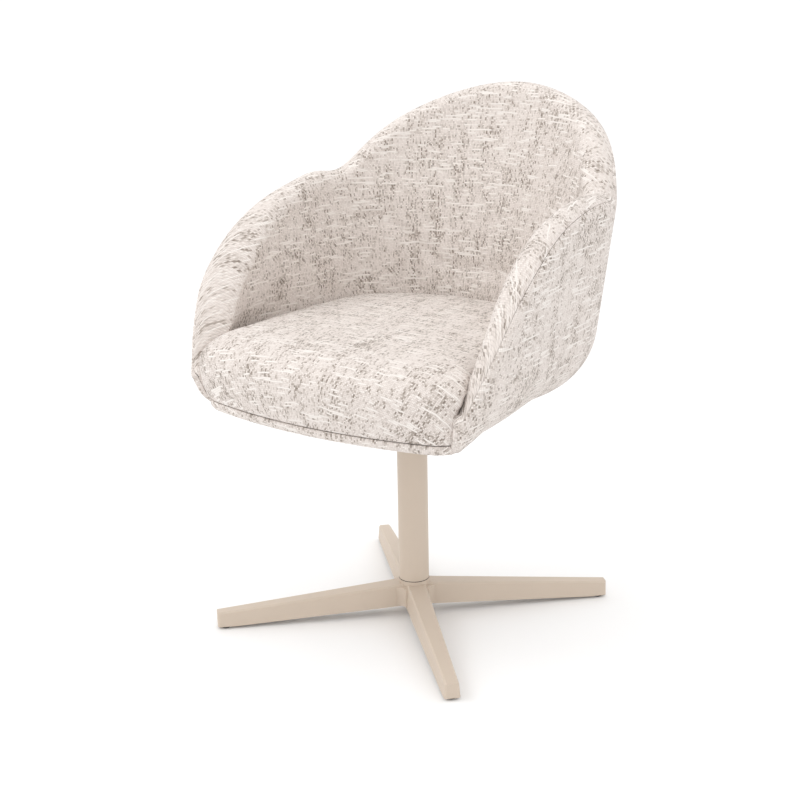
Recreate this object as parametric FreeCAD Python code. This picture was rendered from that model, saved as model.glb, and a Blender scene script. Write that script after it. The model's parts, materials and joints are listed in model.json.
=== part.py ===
import FreeCAD
import Part
import math
import os

# Swivel dining chair: an upholstered tub seat that turns on a round column and a four-legged star base.
# Millimetres. The origin is on the swivel axis at the floor, the front is -Y, up is +Z.

Vector = FreeCAD.Vector

# Star base casting
leg_count = 4
first_leg_angle = 45.0
leg_tip_radius = 318.0
leg_flat_length = 30.0
leg_root_width = 37.0
leg_tip_width = 24.0
leg_draft = 3.0
leg_top_chamfer = 2.5
leg_root_top = 55.0
leg_tip_top = 27.0
leg_root_underside = 19.0
leg_wall = 5.0
leg_end_corner = 4.0
channel_start = 48.0
web_fillet = 13.0
web_top = 50.0
collar_overhang = 0.5
collar_top = 59.0
spigot_length = 20.0
bolt_recess_radius = 16.0
bolt_recess_depth = 13.0

# Floor glides
glide_height = 4.0
glide_radius = 8.0
glide_end_distance = 13.0
stud_radius = 4.0
stud_length = 15.0

# Column
column_radius = 24.0
column_wall = 2.5
column_top = 318.0
seal_thickness = 1.0
seal_overhang = 0.3
plug_length = 20.0
column_bolt_radius = 6.0
column_bolt_engagement = 16.0
bolt_hole_clearance = 0.5

# Swivel: housing, bushes, spindle and thrust bearing
housing_length = 68.0
housing_flange = 4.0
housing_relief = 1.0
bush_wall = 2.5
bush_length = 18.0
spindle_radius = 12.5
spindle_tail = 9.0
circlip_thickness = 1.8
circlip_width = 4.5
circlip_mouth = 8.0
groove_depth = 1.3
spindle_washer_thickness = 2.4
spindle_washer_radius = 19.5
race_thickness = 2.0
race_spindle_gap = 1.5
race_edge_inset = 2.0
ball_radius = 2.5
ball_count = 12
cage_thickness = 2.0
cage_margin = 0.6
skirt_wall = 1.9

# Seat plate and its fastenings
plate_size = 170.0
plate_thickness = 4.0
plate_corner = 20.0
plate_rib_thickness = 5.0
plate_rib_length = 40.0
plate_rib_height = 16.0
plate_bolt_spacing = 124.0
plate_bolt_radius = 4.0
plate_bolt_head = 5.0
plate_washer_radius = 9.0
plate_washer_thickness = 1.6
tee_nut_wall = 1.2
tee_nut_flange_radius = 9.5
tee_nut_flange = 1.2

# Running and standing clearances
running_clearance = 0.03
fixed_clearance = 0.02
soft_gap = 0.3
cover_gap = 0.9
cushion_gap = 0.6

# Tub shell, seat board and underside cover
swivel_height = 47.0
cover_thickness = 2.7
shell_thickness = 8.0
floor_inset = 0.4
board_thickness = 12.0
board_half_width = 95.0
board_front = -205.0
board_back = 115.0
board_corner = 45.0
floor_front = -236.0
floor_corner_reach = 8.0
cover_front = -250.0
clip_head_radius = 6.0
clip_head_thickness = 1.2
clip_stem_radius = 2.5

# Rim of the tub, from the front corner of an arm, up over the arm, through the notch to the middle
# of the back: (half width, depth, rise over the tub's underside) of the rolled edge's centre line
rim_line = [
    (238.0, -217.0, 48.0),
    (244.0, -202.0, 76.0),
    (250.0, -187.0, 103.0),
    (255.0, -171.0, 130.0),
    (259.0, -155.0, 156.0),
    (261.0, -122.0, 195.0),
    (261.0, -86.0, 226.0),
    (255.0, -15.0, 266.0),
    (252.0, 50.0, 284.0),
    (252.0, 102.0, 290.0),
    (244.0, 141.0, 288.0),
    (227.0, 176.0, 313.0),
    (200.0, 217.0, 352.0),
    (157.0, 261.0, 385.0),
    (92.0, 296.0, 412.0),
    (0.0, 314.0, 426.0),
]
rim_radius = 27.0
rim_corner_radius = 15.0
rim_taper_height = 150.0
rim_seam_angle = 38.0
outer_padding = 12.0
shell_edge_drop = 5.0
heel_half_width = 254.0
heel_back = 295.0
heel_radius = 150.0
heel_full_height = 260.0
foot_margin = 5.0
heel_margin = 4.0
crease_rise = 90.0
crease_share = 0.80
crease_half_width = 228.0
crease_back = 196.0
crease_return = 0.75

# Seat cushion, measured at its widest outline and from there down the lip and up the crown
cushion_half_width = 243.0
cushion_front = -271.0
cushion_back = 232.0
cushion_widest_rise = 73.0
lip_inset = 25.0
lip_turns = (84.0, 66.0, 45.0, 24.0)
shoulder_inset = 60.0
shoulder_rise = 40.0
crown_inset = 180.0
crown_rise = 10.0
crown_last_inset = 178.0
crown_level_count = 14
crown_level_spread = 1.5
cushion_bulge_share = 0.10
cushion_corner_share = 0.30

# Worked-out levels and radii
collar_radius = column_radius + collar_overhang
glide_circle_radius = leg_tip_radius - glide_end_distance
race_inner_radius = spindle_radius + race_spindle_gap
race_outer_radius = column_radius - race_edge_inset
ball_circle_radius = (race_inner_radius + race_outer_radius) / 2
tub_underside = column_top + swivel_height
crease_height = tub_underside + crease_rise
cushion_widest_height = tub_underside + cushion_widest_rise
housing_bottom = column_top - housing_length
housing_top = column_top + housing_flange
lower_race_top = housing_top + race_thickness
upper_race_bottom = lower_race_top + 2 * ball_radius
hub_bottom = upper_race_bottom + race_thickness
shell_underside = tub_underside + cover_thickness + soft_gap
plate_bottom = shell_underside - plate_thickness
shell_floor = shell_underside + shell_thickness
board_top = shell_floor + board_thickness
cushion_floor = board_top + tee_nut_flange + 2 * soft_gap
lip_depth = cushion_widest_height - shell_underside - soft_gap
bush_radius = spindle_radius + running_clearance + bush_wall
tube_bore = column_radius - column_wall
tube_bottom = collar_top + seal_thickness


def ring(outer, inner, bottom, height):
    """Round washer or sleeve about the swivel axis."""
    body = Part.makeCylinder(outer, height, Vector(0, 0, bottom))
    return body.cut(Part.makeCylinder(inner, height + 2, Vector(0, 0, bottom - 1)))


def around(angle, distance, height):
    """Point at an angle and a distance from the swivel axis."""
    turn = math.radians(angle)
    return Vector(distance * math.cos(turn), distance * math.sin(turn), height)


def leg_angles():
    return [first_leg_angle + 360.0 / leg_count * i for i in range(leg_count)]


def write(name, solids):
    """Save one named piece, or a group of like pieces."""
    shape = solids[0] if len(solids) == 1 else Part.makeCompound(solids)
    shape.exportStep(os.path.join("parts", name + ".step"))
    print(name, len(shape.Solids), shape.isValid(), round(shape.Volume / 1000, 2), "cm3")


# Star base

def leg_section(distance, half_width, underside, top):
    """Drafted leg outline across X, with its two upper edges chamfered."""
    shoulder = top - leg_top_chamfer
    draft = leg_draft * (shoulder - underside) / (leg_root_top - leg_root_underside)
    outline = [
        (-half_width, underside),
        (half_width, underside),
        (half_width - draft, shoulder),
        (half_width - draft - leg_top_chamfer, top),
        (-half_width + draft + leg_top_chamfer, top),
        (-half_width + draft, shoulder),
    ]
    points = [Vector(distance, across, height) for across, height in outline]
    return Part.makePolygon(points + [points[0]])


def along_leg(distance, root, tip):
    """Value of a leg dimension that tapers from the axis to the tip."""
    return root + (tip - root) * distance / leg_tip_radius


def leg_underside(distance):
    flat_start = leg_tip_radius - leg_flat_length
    if distance >= flat_start:
        return glide_height
    return leg_root_underside + (glide_height - leg_root_underside) * distance / flat_start


def leg_body():
    """One leg along +X, with rounded end corners."""
    sections = []
    for distance in (0.0, leg_tip_radius - leg_flat_length, leg_tip_radius):
        half_width = along_leg(distance, leg_root_width, leg_tip_width) / 2
        top = along_leg(distance, leg_root_top, leg_tip_top)
        sections.append(leg_section(distance, half_width, leg_underside(distance), top))
    leg = Part.makeLoft(sections, True, True)
    corners = []
    for edge in leg.Edges:
        middle = edge.BoundBox.Center
        upright = edge.BoundBox.ZLength > leg_tip_top / 2
        if upright and middle.x > leg_tip_radius - 1.0:
            corners.append(edge)
    return leg.makeFillet(leg_end_corner, corners)


def leg_channel():
    """Hollow under one leg, which stops short of the hub and of the glide's boss."""
    end = leg_tip_radius - leg_flat_length
    sections = []
    for distance in (channel_start, end):
        half_width = along_leg(distance, leg_root_width, leg_tip_width) / 2 - leg_wall
        bottom = leg_underside(distance)
        top = along_leg(distance, leg_root_top, leg_tip_top) - leg_wall
        points = [
            Vector(distance, -half_width, bottom - 1),
            Vector(distance, half_width, bottom - 1),
            Vector(distance, half_width - 1, top),
            Vector(distance, -half_width + 1, top),
        ]
        sections.append(Part.makePolygon(points + [points[0]]))
    return Part.makeLoft(sections, True, True)


def hub_web():
    """Webs that round off the corners between neighbouring legs."""
    half_width = leg_root_width / 2
    reach = half_width + web_fillet
    height = web_top - leg_root_underside
    web = Part.makeBox(2 * reach, 2 * reach, height, Vector(-reach, -reach, leg_root_underside))
    for across in (-reach, reach):
        for along in (-reach, reach):
            corner = Vector(across, along, leg_root_underside)
            web = web.cut(Part.makeCylinder(web_fillet, height, corner))
    return web.rotated(Vector(0, 0, 0), Vector(0, 0, 1), first_leg_angle)


def star_base():
    hub_foot = Vector(0, 0, leg_root_underside)
    base = Part.makeCylinder(collar_radius, collar_top - leg_root_underside, hub_foot)
    spigot_radius = tube_bore - fixed_clearance
    base = base.fuse(Part.makeCylinder(spigot_radius, spigot_length + 1, Vector(0, 0, collar_top - 1)))
    base = base.fuse(hub_web())
    for angle in leg_angles():
        base = base.fuse(leg_body().rotated(Vector(0, 0, 0), Vector(0, 0, 1), angle))
    for angle in leg_angles():
        base = base.cut(leg_channel().rotated(Vector(0, 0, 0), Vector(0, 0, 1), angle))
        foot = around(angle, glide_circle_radius, glide_height - 1)
        base = base.cut(Part.makeCylinder(stud_radius + fixed_clearance, stud_length + 2, foot))
    bolt_hole = column_bolt_radius + bolt_hole_clearance
    base = base.cut(Part.makeCylinder(bolt_hole, collar_top + spigot_length, Vector(0, 0, 0)))
    recess_top = leg_root_underside + bolt_recess_depth
    base = base.cut(Part.makeCylinder(bolt_recess_radius, recess_top, Vector(0, 0, 0)))
    return base.removeSplitter()


def glide(angle):
    """Moulded foot under one leg end, with a rounded lower edge and a hole for its stud."""
    foot = around(angle, glide_circle_radius, 0)
    pad = Part.makeCylinder(glide_radius, glide_height, foot)
    low_edges = [edge for edge in pad.Edges if edge.BoundBox.ZMax < glide_height / 2]
    pad = pad.makeFillet(glide_height / 4, low_edges)
    seat = around(angle, glide_circle_radius, glide_height / 2)
    return pad.cut(Part.makeCylinder(stud_radius + fixed_clearance, glide_height, seat))


def glide_stud(angle):
    start = around(angle, glide_circle_radius, glide_height / 2)
    return Part.makeCylinder(stud_radius, stud_length + glide_height / 2, start)


# Column and its fixing

def column_seal_ring():
    return ring(column_radius + seal_overhang, tube_bore, collar_top, seal_thickness)


def column_tube():
    return ring(column_radius, tube_bore, tube_bottom, column_top - tube_bottom)


def column_end_plug():
    bottom = collar_top + spigot_length
    return ring(tube_bore - fixed_clearance, column_bolt_radius + fixed_clearance, bottom, plug_length)


def column_bolt_washer():
    top = leg_root_underside + bolt_recess_depth
    outer = column_bolt_radius * 2
    return ring(outer, column_bolt_radius + bolt_hole_clearance, top - outer / 5, outer / 5)


def hexagon(across_flats, bottom, height, centre=Vector(0, 0, 0)):
    """Hexagonal bolt head or nut."""
    corner = across_flats / math.sqrt(3)
    points = [centre + around(60 * i, corner, bottom) for i in range(7)]
    return Part.Face(Part.makePolygon(points)).extrude(Vector(0, 0, height))


def column_bolt():
    washer_bottom = leg_root_underside + bolt_recess_depth - column_bolt_radius * 2 / 5
    head_height = column_bolt_radius * 1.25
    top = collar_top + spigot_length + column_bolt_engagement
    shank = Part.makeCylinder(column_bolt_radius, top - washer_bottom, Vector(0, 0, washer_bottom))
    head = hexagon(column_bolt_radius * 3, washer_bottom - head_height, head_height)
    return shank.fuse(head).removeSplitter()


# Swivel

def swivel_housing():
    """Sleeve inside the column's top, with a flange on the tube's end and a pocket for each bush."""
    body_radius = tube_bore - fixed_clearance
    body = Part.makeCylinder(body_radius, housing_length, Vector(0, 0, housing_bottom))
    body = body.fuse(Part.makeCylinder(column_radius, housing_flange, Vector(0, 0, column_top)))
    bore_start = Vector(0, 0, housing_bottom - 1)
    bore_length = housing_length + housing_flange + 2
    body = body.cut(Part.makeCylinder(spindle_radius + housing_relief, bore_length, bore_start))
    pocket_radius = bush_radius + fixed_clearance
    for bottom in (housing_bottom - 1, housing_top - bush_length):
        body = body.cut(Part.makeCylinder(pocket_radius, bush_length + 1, Vector(0, 0, bottom)))
    return body.removeSplitter()


def bush(bottom):
    return ring(bush_radius, spindle_radius + running_clearance, bottom, bush_length)


def race(bottom):
    return ring(race_outer_radius, race_inner_radius, bottom, race_thickness)


def ball_centres():
    height = lower_race_top + ball_radius
    return [around(360.0 / ball_count * i, ball_circle_radius, height) for i in range(ball_count)]


def thrust_balls():
    return [Part.makeSphere(ball_radius - running_clearance, centre) for centre in ball_centres()]


def ball_cage():
    height = lower_race_top + ball_radius - cage_thickness / 2
    cage = ring(race_outer_radius - cage_margin, race_inner_radius + cage_margin, height, cage_thickness)
    for centre in ball_centres():
        pocket = Vector(centre.x, centre.y, height - 1)
        cage = cage.cut(Part.makeCylinder(ball_radius + running_clearance, cage_thickness + 2, pocket))
    return cage


def spindle_bottom():
    return housing_bottom - spindle_tail


def spindle():
    """Turning shaft with a circlip groove near its lower end."""
    bottom = spindle_bottom()
    shaft = Part.makeCylinder(spindle_radius, shell_underside - bottom, Vector(0, 0, bottom))
    groove_top = housing_bottom - running_clearance - spindle_washer_thickness
    groove_bottom = groove_top - circlip_thickness - 2 * running_clearance
    groove_height = groove_top - groove_bottom
    return shaft.cut(ring(spindle_radius + 1, spindle_radius - groove_depth, groove_bottom, groove_height))


def spindle_washer():
    bottom = housing_bottom - running_clearance - spindle_washer_thickness
    bore = spindle_radius + running_clearance
    return ring(spindle_washer_radius, bore, bottom, spindle_washer_thickness)


def spindle_circlip():
    """Open ring that snaps into the spindle's groove."""
    top = housing_bottom - 2 * running_clearance - spindle_washer_thickness
    inner = spindle_radius - groove_depth + fixed_clearance
    clip = ring(inner + circlip_width, inner, top - circlip_thickness, circlip_thickness)
    corner = Vector(0, -circlip_mouth / 2, top - circlip_thickness - 1)
    return clip.cut(Part.makeBox(spindle_radius * 2, circlip_mouth, circlip_thickness + 2, corner))


# Seat plate

def plate_bolt_places():
    half = plate_bolt_spacing / 2
    return [Vector(x, y, 0) for x in (-half, half) for y in (-half, half)]


def rounded_plate(half_width, front, back, corner, bottom, thickness):
    """Flat board with rounded corners."""
    block = Part.makeBox(2 * half_width, back - front, thickness, Vector(-half_width, front, bottom))
    uprights = [edge for edge in block.Edges if edge.BoundBox.ZLength > thickness / 2]
    return block.makeFillet(corner, uprights)


def plate_rib(angle):
    """Triangular rib between the hub and the underside of the plate."""
    start = race_outer_radius
    points = [
        Vector(start, -plate_rib_thickness / 2, plate_bottom + 1),
        Vector(start + plate_rib_length, -plate_rib_thickness / 2, plate_bottom + 1),
        Vector(start, -plate_rib_thickness / 2, plate_bottom - plate_rib_height),
    ]
    rib = Part.Face(Part.makePolygon(points + [points[0]])).extrude(Vector(0, plate_rib_thickness, 0))
    return rib.rotated(Vector(0, 0, 0), Vector(0, 0, 1), angle)


def swivel_plate():
    """Pressed plate with a welded hub, whose skirt shrouds the thrust bearing."""
    half = plate_size / 2
    plate = rounded_plate(half, -half, half, plate_corner, plate_bottom, plate_thickness)
    hub_radius = race_outer_radius + cage_margin + skirt_wall
    hub = Part.makeCylinder(hub_radius, plate_bottom - hub_bottom + 1, Vector(0, 0, hub_bottom))
    skirt_bottom = housing_top + cage_margin
    skirt = ring(hub_radius, race_outer_radius + cage_margin, skirt_bottom, hub_bottom - skirt_bottom + 1)
    plate = plate.fuse(hub).fuse(skirt)
    for angle in leg_angles():
        plate = plate.fuse(plate_rib(angle + first_leg_angle))
    bore = spindle_radius + fixed_clearance
    bore_length = shell_underside - hub_bottom + 2
    plate = plate.cut(Part.makeCylinder(bore, bore_length, Vector(0, 0, hub_bottom - 1)))
    hole_radius = plate_bolt_radius + bolt_hole_clearance
    for place in plate_bolt_places():
        hole = place + Vector(0, 0, plate_bottom - 1)
        plate = plate.cut(Part.makeCylinder(hole_radius, plate_thickness + 2, hole))
    return plate.removeSplitter()


def plate_bolt(place):
    """Hexagon bolt from below the plate up into its tee nut."""
    seat = plate_bottom - plate_washer_thickness
    shank = Part.makeCylinder(plate_bolt_radius, board_top - seat, place + Vector(0, 0, seat))
    head = hexagon(plate_bolt_radius * 3.2, seat - plate_bolt_head, plate_bolt_head, place)
    return shank.fuse(head).removeSplitter()


def plate_washer(place):
    washer = ring(plate_washer_radius, plate_bolt_radius + bolt_hole_clearance, 0, plate_washer_thickness)
    return washer.translated(place + Vector(0, 0, plate_bottom - plate_washer_thickness))


def tee_nut(place):
    """Flanged nut that drops into the seat board from above."""
    bore = plate_bolt_radius + fixed_clearance
    barrel = ring(plate_bolt_radius + tee_nut_wall, bore, shell_floor, board_thickness)
    flange = ring(tee_nut_flange_radius, bore, board_top, tee_nut_flange)
    return barrel.fuse(flange).removeSplitter().translated(place)


def seat_board():
    board = rounded_plate(
        board_half_width, board_front, board_back, board_corner, shell_floor, board_thickness
    )
    hole_radius = plate_bolt_radius + tee_nut_wall + fixed_clearance
    for place in plate_bolt_places():
        hole = place + Vector(0, 0, shell_floor - 1)
        board = board.cut(Part.makeCylinder(hole_radius, board_thickness + 2, hole))
    return board


# Tub: every layer is a loft through upright sections that stand round the swivel axis under the rim

def share(value, low, high):
    """Where a value lies between two others, from 0 to 1."""
    return min(max((value - low) / (high - low), 0.0), 1.0)


def eased(part):
    """Share from 0 to 1 that starts fast and levels off."""
    return math.sin(math.pi / 2 * part)


def stations():
    """Section places round the rim, from the right front corner to the left one."""
    right = rim_line
    left = [(-x, y, rise) for x, y, rise in reversed(rim_line[:-1])]
    line = right + left
    widest = max(x for x, _, _ in rim_line)
    front = rim_line[0][1]
    back = rim_line[-1][1]
    places = []
    for x, y, rise in line:
        centre = Vector(x, y, tub_underside + rise)
        outward = Vector(x, y, 0).normalize()
        depth = share(y, front, back)
        heel = Vector(x / widest * heel_half_width, front + depth * (heel_back - front), 0)
        crease = Vector(x / widest * crease_half_width, front + depth * (crease_back - front), 0)
        fullness = share(rise, rim_line[0][2], rim_line[0][2] + rim_taper_height)
        places.append({
            "centre": centre,
            "outward": outward,
            "radius": rim_corner_radius + (rim_radius - rim_corner_radius) * eased(fullness),
            "heel": (heel - centre).dot(outward),
            "crease": (crease - centre).dot(outward),
        })
    return places


def at(station, across, height):
    """Point of a station's upright plane, from its distance out from the rim's centre line."""
    centre = station["centre"]
    return Vector(centre.x, centre.y, height) + station["outward"] * across


def edge_wire(points_and_arcs):
    """Closed wire from a list of ("line", a, b) and ("arc", a, middle, b)."""
    edges = []
    for kind, *points in points_and_arcs:
        if kind == "line":
            edges.append(Part.makeLine(*points))
        else:
            edges.append(Part.Arc(*points).toShape())
    return Part.Wire(edges)


class WallCurve:
    """One face of the tub's wall: a leaning side, a round heel and a flat foot."""

    def __init__(self, station, inset, floor, radius_cut):
        rim_height = station["centre"].z
        outside = station["radius"]
        full_height = rim_height - tub_underside
        self.lean = (outside - station["heel"]) / full_height
        self.inset = inset
        self.top_across = outside - inset
        self.rim_height = rim_height
        self.floor = floor
        radius = heel_radius * eased(share(full_height, 0.0, heel_full_height)) - radius_cut
        corner_across = self.side_across(floor)
        side = math.atan2(1.0, self.lean)
        half_angle = (math.pi - side) / 2
        run = radius / math.tan(half_angle)
        self.radius = radius
        self.upper = (corner_across + run * math.cos(side), floor + run * math.sin(side))
        self.lower = (corner_across - run, floor)
        self.hub = (self.lower[0], floor + radius)
        self.side = side

    def side_across(self, height):
        return self.top_across - self.lean * (self.rim_height - height)

    def on_heel(self, height):
        """Distance out of the round heel at a height."""
        rise = self.hub[1] - height
        return self.hub[0] + math.sqrt(self.radius ** 2 - rise ** 2)

    def heel_turn(self, height):
        """Angle round the heel, from level at its hub's height to straight down at the floor."""
        return math.asin(min((self.hub[1] - height) / self.radius, 1.0))

    def heel_between(self, first_height, second_height):
        """Point on the round heel halfway between two heights on it."""
        turn = (self.heel_turn(first_height) + self.heel_turn(second_height)) / 2
        return (self.hub[0] + self.radius * math.cos(turn), self.hub[1] - self.radius * math.sin(turn))

    def heel_middle(self):
        return self.heel_between(self.floor, self.upper[1])


def outer_inset(station):
    """Padding outside the shell, thinner where the rim tapers to its front corner."""
    return outer_padding * station["radius"] / rim_radius


def shell_outer_curve(station):
    return WallCurve(station, outer_inset(station) + soft_gap, shell_underside, outer_padding / 2)


def shell_inner_curve(station, gap):
    """Inside of the shell, or a face that stands off it by a gap."""
    inset = outer_inset(station) + soft_gap + shell_thickness + gap
    return WallCurve(station, inset, shell_floor + gap, outer_padding / 2 + shell_thickness + gap)


def foot_across(station):
    """Inner end of the wall's flat foot, shared by all layers."""
    return shell_inner_curve(station, 2 * soft_gap).lower[0] - foot_margin


def rim_point(station, angle):
    """Point on the rolled edge, its angle counted from straight outwards over the top."""
    turn = math.radians(angle)
    radius = station["radius"]
    return at(station, radius * math.cos(turn), station["centre"].z + radius * math.sin(turn))


def shell_section(station):
    outer = shell_outer_curve(station)
    inner = shell_inner_curve(station, 0.0)
    top = station["centre"].z - shell_edge_drop
    foot = foot_across(station)
    outer_top = at(station, outer.side_across(top), top)
    inner_top = at(station, inner.side_across(top), top)
    return edge_wire([
        ("line", outer_top, at(station, *outer.upper)),
        ("arc", at(station, *outer.upper), at(station, *outer.heel_middle()), at(station, *outer.lower)),
        ("line", at(station, *outer.lower), at(station, foot, outer.floor)),
        ("line", at(station, foot, outer.floor), at(station, foot, inner.floor)),
        ("line", at(station, foot, inner.floor), at(station, *inner.lower)),
        ("arc", at(station, *inner.lower), at(station, *inner.heel_middle()), at(station, *inner.upper)),
        ("line", at(station, *inner.upper), inner_top),
        ("line", inner_top, outer_top),
    ])


def outer_section(station):
    """Outer upholstery, from the seam on the rim down and under to the foot."""
    outside = WallCurve(station, 0.0, tub_underside, 0.0)
    inside = WallCurve(station, outer_inset(station), tub_underside + cover_thickness, outer_padding / 2)
    rim_height = station["centre"].z
    gap_angle = math.degrees(soft_gap / station["radius"])
    top = rim_height - shell_edge_drop
    foot = foot_across(station)
    seam = rim_point(station, rim_seam_angle - gap_angle)
    inner_top = at(station, inside.side_across(top), top)
    side_top = at(station, station["radius"], rim_height)
    return edge_wire([
        ("arc", seam, rim_point(station, rim_seam_angle / 2), side_top),
        ("line", side_top, at(station, *outside.upper)),
        ("arc", at(station, *outside.upper), at(station, *outside.heel_middle()),
         at(station, *outside.lower)),
        ("line", at(station, *outside.lower), at(station, foot, outside.floor)),
        ("line", at(station, foot, outside.floor), at(station, foot, inside.floor)),
        ("line", at(station, foot, inside.floor), at(station, *inside.lower)),
        ("arc", at(station, *inside.lower), at(station, *inside.heel_middle()),
         at(station, *inside.upper)),
        ("line", at(station, *inside.upper), inner_top),
        ("line", inner_top, seam),
    ])


def inner_boundary(station, gap):
    """Inside face of the wall: crease point, and the point where the pad meets the shell."""
    rim_height = station["centre"].z
    crease_z = min(crease_height, tub_underside + crease_share * (rim_height - tub_underside))
    backing = shell_inner_curve(station, soft_gap + gap)
    crease = (station["crease"] - gap, crease_z)
    if crease_z < backing.upper[1]:
        thickness = backing.on_heel(crease_z) - crease[0]
    else:
        thickness = backing.side_across(crease_z) - crease[0]
    low = min(crease_z - crease_return * thickness, backing.upper[1] - heel_margin)
    return backing, crease, (backing.on_heel(low), low)


def inner_section(station):
    """Inner upholstery, from the seam over the rim and down the inside to the seat crease."""
    backing, crease, meeting = inner_boundary(station, 0.0)
    rim_height = station["centre"].z
    top = rim_height - shell_edge_drop + soft_gap
    outer = WallCurve(station, outer_inset(station), tub_underside, 0.0)
    seam = rim_point(station, rim_seam_angle)
    inside = rim_point(station, 180.0)
    backing_top = at(station, backing.side_across(top), top)
    return edge_wire([
        ("arc", seam, rim_point(station, (rim_seam_angle + 180.0) / 2), inside),
        ("line", inside, at(station, *crease)),
        ("line", at(station, *crease), at(station, *meeting)),
        ("arc", at(station, *meeting), at(station, *backing.heel_between(meeting[1], backing.upper[1])),
         at(station, *backing.upper)),
        ("line", at(station, *backing.upper), backing_top),
        ("line", backing_top, at(station, outer.side_across(top), top)),
        ("line", at(station, outer.side_across(top), top), seam),
    ])


def wall_section(station):
    """The whole wall grown upwards and inwards, most at its thin front corners, to trim the cushion."""
    gap = cushion_gap * (rim_radius / station["radius"]) ** 3
    backing, crease, meeting = inner_boundary(station, gap)
    outside = WallCurve(station, 0.0, tub_underside, 0.0)
    rim_height = station["centre"].z
    reach = station["radius"] + gap
    foot = foot_across(station)
    inside = at(station, -reach, rim_height)
    side_top = at(station, station["radius"], rim_height)
    return edge_wire([
        ("arc", side_top, at(station, 0.0, rim_height + reach), inside),
        ("line", inside, at(station, *crease)),
        ("line", at(station, *crease), at(station, *meeting)),
        ("arc", at(station, *meeting), at(station, *backing.heel_between(meeting[1], backing.floor)),
         at(station, *backing.lower)),
        ("line", at(station, *backing.lower), at(station, foot, backing.floor)),
        ("line", at(station, foot, backing.floor), at(station, foot, outside.floor)),
        ("line", at(station, foot, outside.floor), at(station, *outside.lower)),
        ("arc", at(station, *outside.lower), at(station, *outside.heel_middle()),
         at(station, *outside.upper)),
        ("line", at(station, *outside.upper), side_top),
    ])


def tub_loft(section):
    return Part.makeLoft([section(station) for station in stations()], True, False)


def floor_outline(foot_shift, front):
    """Plan outline inside the wall's foot, closed by a convex front edge."""
    points = [at(station, foot_across(station) + foot_shift, 0) for station in stations()]
    first = points[0] - Vector(0, floor_corner_reach, 0)
    last = points[-1] - Vector(0, floor_corner_reach, 0)
    curve = Part.BSplineCurve()
    curve.interpolate([first] + points[1:-1] + [last])
    front_edge = Part.Arc(last, Vector(0, front, 0), first).toShape()
    return Part.Wire([curve.toShape(), front_edge])


def floor_slab(foot_shift, front, bottom, thickness):
    face = Part.Face(floor_outline(foot_shift, front))
    return face.extrude(Vector(0, 0, thickness)).translated(Vector(0, 0, bottom))


def clip_places():
    """Trim clips that hold the underside cover, in front of, beside and behind the plate."""
    reach = plate_size / 2 + 2 * clip_head_radius
    return [
        Vector(-reach, -reach, 0),
        Vector(reach, -reach, 0),
        Vector(0, -reach - plate_size / 2, 0),
        Vector(0, reach + 2 * clip_head_radius, 0),
    ]


def tub_shell():
    bottom = shell_underside + floor_inset
    slab = floor_slab(foot_margin, floor_front, bottom, shell_thickness - 2 * floor_inset)
    shell = tub_loft(shell_section).fuse(slab)
    holes = [(place, plate_bolt_radius + bolt_hole_clearance) for place in plate_bolt_places()]
    holes += [(place, clip_stem_radius + fixed_clearance) for place in clip_places()]
    for place, radius in holes:
        start = place + Vector(0, 0, shell_underside - 1)
        shell = shell.cut(Part.makeCylinder(radius, shell_thickness + 2, start))
    return shell


def underside_cover():
    """Fabric-covered panel under the seat, cut out round the swivel plate."""
    cover = floor_slab(-cover_gap, cover_front, tub_underside, cover_thickness)
    half = plate_size / 2 + 2 * soft_gap
    cut_bottom = tub_underside - 1
    hole_radius = clip_stem_radius + fixed_clearance
    cover = cover.cut(rounded_plate(half, -half, half, plate_corner, cut_bottom, cover_thickness + 2))
    for place in clip_places():
        hole = place + Vector(0, 0, cut_bottom)
        cover = cover.cut(Part.makeCylinder(hole_radius, cover_thickness + 2, hole))
    return cover


def cover_clip(place):
    """Push-in clip: a flat head under the cover and a stem up into the shell's floor."""
    head_bottom = place + Vector(0, 0, tub_underside - clip_head_thickness)
    head = Part.makeCylinder(clip_head_radius, clip_head_thickness, head_bottom)
    stem_length = cover_thickness + shell_thickness
    stem = Part.makeCylinder(clip_stem_radius, stem_length, place + Vector(0, 0, tub_underside))
    return head.fuse(stem).removeSplitter()


# Seat cushion

def cushion_outline(height, half_width, front, back):
    """Plan outline with convex front and back edges that run smoothly into round corners."""
    corner = cushion_corner_share * half_width
    bulge = cushion_bulge_share * half_width
    inset = half_width - corner
    rise = corner + bulge
    sweep = (inset ** 2 + rise ** 2 - corner ** 2) / (2 * bulge)
    turn = math.atan2(inset, sweep - rise)
    front_hub = front + rise
    back_hub = back - rise
    diagonal = (math.pi / 2 + turn) / 2
    touch = (inset + corner * math.sin(turn), corner * math.cos(turn))
    middle = (inset + corner * math.sin(diagonal), corner * math.cos(diagonal))

    def place(x, y):
        return Vector(x, y, height)

    return edge_wire([
        ("arc", place(-touch[0], front_hub - touch[1]), place(0, front),
         place(touch[0], front_hub - touch[1])),
        ("arc", place(touch[0], front_hub - touch[1]), place(middle[0], front_hub - middle[1]),
         place(half_width, front_hub)),
        ("line", place(half_width, front_hub), place(half_width, back_hub)),
        ("arc", place(half_width, back_hub), place(middle[0], back_hub + middle[1]),
         place(touch[0], back_hub + touch[1])),
        ("arc", place(touch[0], back_hub + touch[1]), place(0, back),
         place(-touch[0], back_hub + touch[1])),
        ("arc", place(-touch[0], back_hub + touch[1]), place(-middle[0], back_hub + middle[1]),
         place(-half_width, back_hub)),
        ("line", place(-half_width, back_hub), place(-half_width, front_hub)),
        ("arc", place(-half_width, front_hub), place(-middle[0], front_hub - middle[1]),
         place(-touch[0], front_hub - touch[1])),
    ])


def cushion_level(height, inset):
    return cushion_outline(height, cushion_half_width - inset, cushion_front + inset, cushion_back - inset)


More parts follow.
